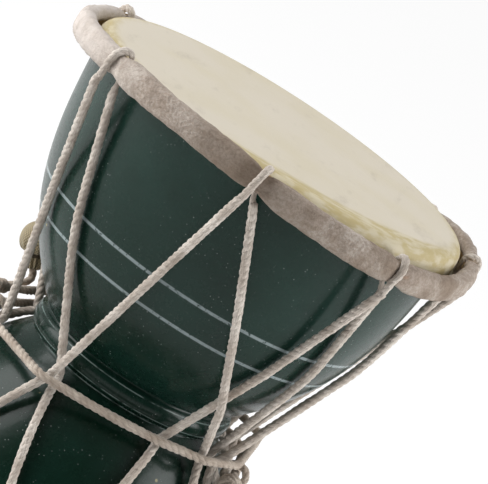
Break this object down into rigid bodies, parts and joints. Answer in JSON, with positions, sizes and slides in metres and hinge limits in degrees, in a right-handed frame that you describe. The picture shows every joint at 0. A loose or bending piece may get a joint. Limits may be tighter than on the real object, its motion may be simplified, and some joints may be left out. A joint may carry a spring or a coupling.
{
  "type": "damaru",
  "caption": "Hourglass hand drum of green lacquered wood, with hide heads laced by cotton rope, a cord round its waist and two swinging cloth-covered strikers.",
  "frame": {"origin": "centre of the lower head's outer face, on the drum's axis", "axes": "+Z along the drum's axis, from the lower head to the upper; -Y is the side that the picture shows; the waist knot is at +X"},
  "size_m": [0.1403, 0.1358, 0.1632],
  "materials": {
    "lacquer": "gloss",
    "hide": "matte",
    "cane": "matte",
    "rope": "matte",
    "bead": "matte",
    "cloth": "matte",
    "thread": "matte"
  },
  "bodies": {
    "drum": {"shell": "lacquer", "upper_skin": "hide", "lower_skin": "hide", "upper_hoop": "cane", "lower_hoop": "cane", "lacing_cord_a": "rope", "lacing_cord_b": "rope", "lacing_knot_a": "rope", "lacing_knot_b": "rope", "waist_cord": "rope", "waist_knot": "rope", "waist_tail_knot": "rope", "striker_a_hitch": "rope"},
    "striker_a": {"striker_a_cord": "rope", "striker_a_core": "bead", "striker_a_cover": "cloth", "striker_a_binding": "thread"},
    "striker_b": {"striker_b_hitch": "rope", "striker_b_cord": "rope", "striker_b_core": "bead", "striker_b_cover": "cloth", "striker_b_binding": "thread"}
  },
  "joints": [
    {"name": "striker_a_swing", "type": "hinge", "parent": "drum", "child": "striker_a", "pos_m": [-0.04609, -0.00234, 0.07159], "axis": [0, -0.6, 0.8], "range_deg": [0, 90]},
    {"name": "striker_b_swing", "type": "hinge", "parent": "drum", "child": "striker_b", "pos_m": [0.04003, -0.00706, 0.07079], "axis": [0.0041, -0.9999, -0.0154], "range_deg": [0, 115]}
  ]
}
